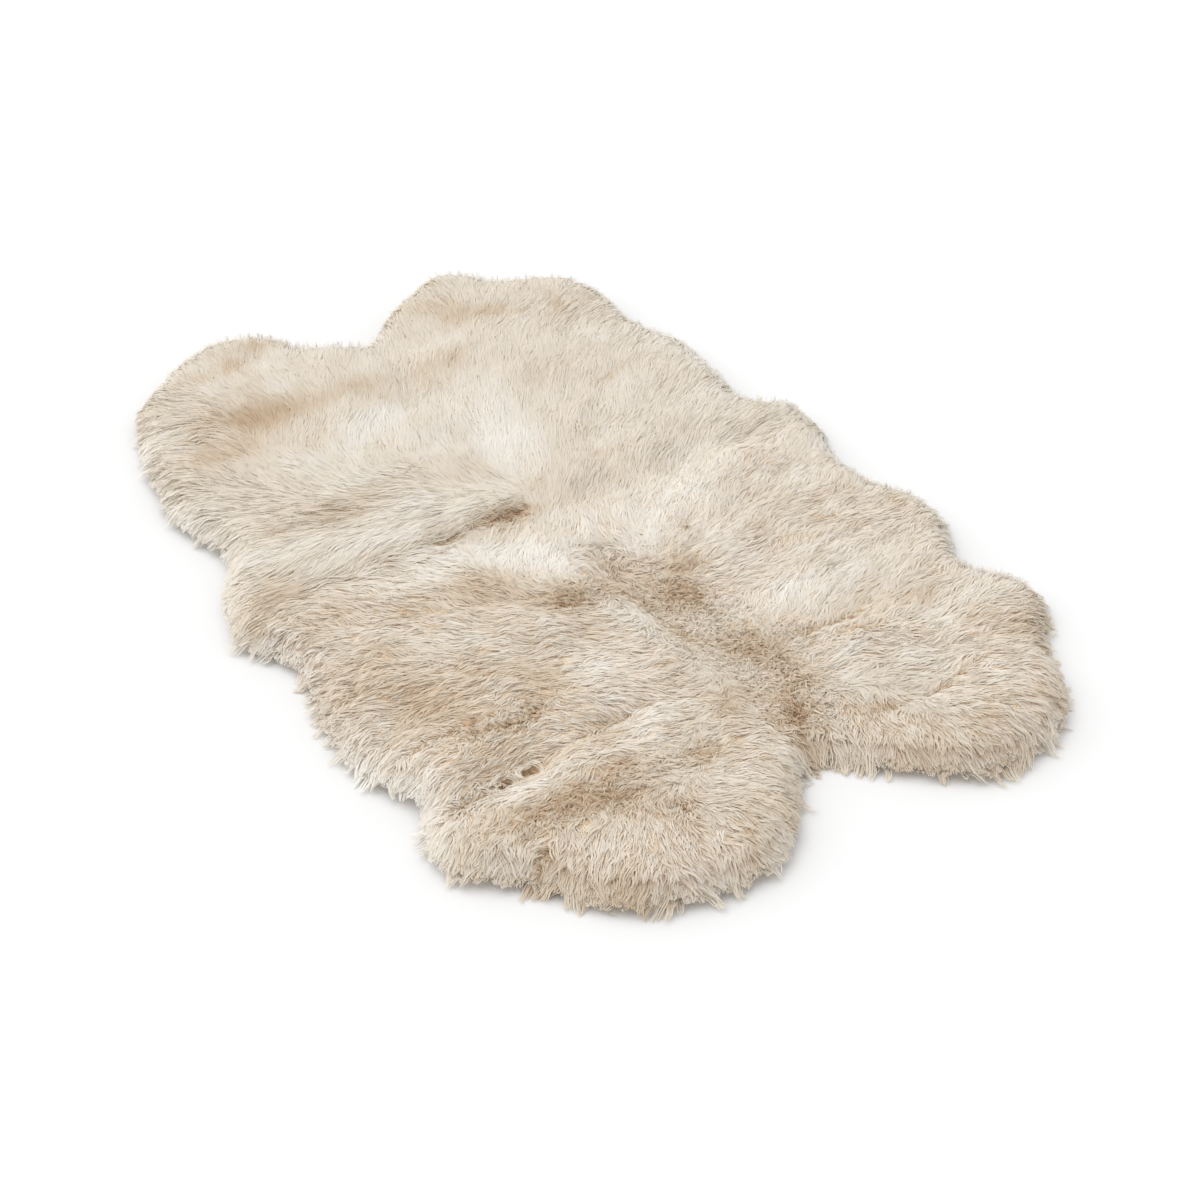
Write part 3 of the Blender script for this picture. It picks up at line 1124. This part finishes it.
fleece = {
    "spacing": 0.012,
    "below": 0.0034,      # under the wool's surface, where the wool is combed smooth
    "ruffled": 0.0012,    # and this much more where it is ruffled
    "edge": 0.021,        # where its side stands, measured in from the slab's edge
    "border": 0.012,      # how far in from its side it is lower and paler, by the next two values
    "lower": 0.007,
    "paler": 0.40,
    "tan": 0.06,
    "hollow": 0.006,      # how much wider it gives way at the small hollows
    "foot": 0.0018,
    "least": 0.002,       # its depth, at the least
}
hide = {
    "spacing": 0.028,
    "thickness": 0.0015,
    "edge": 0.024,
}


def shortName(peltName):
    return peltName.replace("pelt", "").title().replace("_", "")


def deselectAll():
    for obj in bpy.context.selected_objects:
        obj.select_set(False)


def peltSheet(name, spacing, edge):
    # a level grid cut to the pelt's outline, its border moved onto the outline
    lo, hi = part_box(name)
    left = lo.x if lo.x < seamX - 0.1 else hi.x
    back = lo.y if lo.y < seamY - 0.1 else hi.y
    seam = Vector((hi.x if left == lo.x else lo.x, hi.y if back == lo.y else lo.y, 0))
    countX, countY = int(abs(seam.x - left) / spacing) + 6, int(abs(seam.y - back) / spacing) + 6
    signX, signY = (1 if left > seam.x else -1), (1 if back > seam.y else -1)
    deselectAll()
    centre = (seam.x + signX * countX * spacing / 2, seam.y + signY * countY * spacing / 2, 0)
    bpy.ops.mesh.primitive_grid_add(x_subdivisions=countX, y_subdivisions=countY, size=1.0, location=centre)
    obj = bpy.context.object
    obj.scale = (countX * spacing, countY * spacing, 1)
    bpy.ops.object.transform_apply(location=True, rotation=True, scale=True)
    cut = bmesh.new()
    cut.from_mesh(obj.data)
    points = np.array([v.co[:] for v in cut.verts])
    inside = sample(distance, points) > edge
    keep = {v for v, good in zip(cut.verts, inside) if good}
    outer = [f for f in cut.faces if not all(v in keep for v in f.verts)]
    bmesh.ops.delete(cut, geom=outer, context="FACES")
    border = [v for v in cut.verts if v.is_boundary
              and abs(v.co.x - seam.x) > 1e-4 and abs(v.co.y - seam.y) > 1e-4]
    for _ in range(4):
        p = np.array([v.co[:] for v in border])
        move = (sample(distance, p) - edge)[:, None] * sample(outward, p)
        for v, m in zip(border, move):
            v.co.x += m[0]
            v.co.y += m[1]
    cut.to_mesh(obj.data)
    cut.free()
    return obj


def pointsOf(mesh):
    co = np.empty(len(mesh.vertices) * 3, np.float32)
    mesh.vertices.foreach_get("co", co)
    return co.reshape(-1, 3).astype(float)


def thicken(obj, thickness):
    solid = obj.modifiers.new("thickness", "SOLIDIFY")
    solid.thickness = thickness
    solid.offset = -1
    bpy.context.view_layer.objects.active = obj
    bpy.ops.object.modifier_apply(modifier=solid.name)


def addFleece(name):
    obj = peltSheet(name, fleece["spacing"], fleece["edge"])
    obj.name = "fleece" + shortName(name)
    count = len(obj.data.vertices)
    thicken(obj, fleece["least"])
    co = pointsOf(obj.data)
    top = sample(surface, co) - fleece["below"] - fleece["ruffled"] * (sample(ruffleMap, co) - 0.5)
    for x, y, radius in hollowRows:
        away = np.hypot(co[:, 0] - x / 1000, co[:, 1] - y / 1000)
        top -= ringLocks["sunk"] * np.exp(-(away / (radius / 1000 + fleece["hollow"])) ** 2)
    atEdge = np.exp(-np.clip(sample(distance, co) - fleece["edge"], 0, 1) / fleece["border"])
    top -= fleece["lower"] * atEdge
    co[:count, 2] = np.maximum(top[:count], fleece["foot"] + fleece["least"])
    co[count:, 2] = fleece["foot"]
    obj.data.vertices.foreach_set("co", co.astype(np.float32).ravel())
    value = np.ones((len(co), 4))
    value[:, 0] = sample(toneMap, co) + fleece["tan"]
    value[:, 1] = 1 - fleece["paler"] * atEdge
    attribute = obj.data.color_attributes.new("strand", "FLOAT_COLOR", "POINT")
    attribute.data.foreach_set("color", value.astype(np.float32).ravel())
    obj.data.shade_smooth()
    obj.data.materials.append(fleeceFinish)
    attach(obj, "root")
    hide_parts(name)
    print(obj.name, len(obj.data.polygons), "faces")
    return obj


def addHide(name, covers):
    obj = peltSheet(name, hide["spacing"], hide["edge"])
    obj.name = "hide" + shortName(name)
    co = pointsOf(obj.data)
    co[:, 2] = hide["thickness"]
    obj.data.vertices.foreach_set("co", co.astype(np.float32).ravel())
    thicken(obj, hide["thickness"])
    obj.data.shade_smooth()
    obj.data.materials.append(hideFinish)
    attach(obj, "root")


for peltName in peltNames:
    addHide(peltName, [addFleece(peltName), *woolPieces[shortName(peltName)]])

studio = {
    "floorGrey": 0.76,
    "sky": 0.945,
    "keyFrom": (-0.50, 0.66, 1.20),   # from the left and a little behind, about 55 degrees up
    "keySpread": 80.0,                # degrees, as a large softbox
    "keyPower": 1.55,
}


def addFloor():
    deselectAll()
    bpy.ops.mesh.primitive_plane_add(size=60.0, location=(0, 0, 0))
    floor = bpy.context.object
    floor.name = "floor"
    material, tree = newMaterial("paleFloor")
    grey = studio["floorGrey"]
    shader = addNode(tree, "ShaderNodeBsdfPrincipled", (0, 0), inputs={
        "Base Color": (grey, grey, grey, 1), "Roughness": 0.9, "Specular IOR Level": 0.1})
    addNode(tree, "ShaderNodeOutputMaterial", (300, 0), inputs={"Surface": shader.outputs["BSDF"]})
    floor.data.materials.append(material)


def addStudio():
    world = bpy.data.worlds.new("studio")
    bpy.context.scene.world = world
    world.use_nodes = True
    world.node_tree.nodes["Background"].inputs["Color"].default_value = (1, 1, 1, 1)
    world.node_tree.nodes["Background"].inputs["Strength"].default_value = studio["sky"]
    key = bpy.data.lights.new("keyLight", "SUN")
    key.angle = math.radians(studio["keySpread"])
    key.energy = studio["keyPower"]
    obj = bpy.data.objects.new("keyLight", key)
    bpy.context.scene.collection.objects.link(obj)
    obj.rotation_euler = (-Vector(studio["keyFrom"])).to_track_quat("-Z", "Y").to_euler()
    bpy.context.scene.view_settings.view_transform = "Standard"


addFloor()
addStudio()
print("studio set")
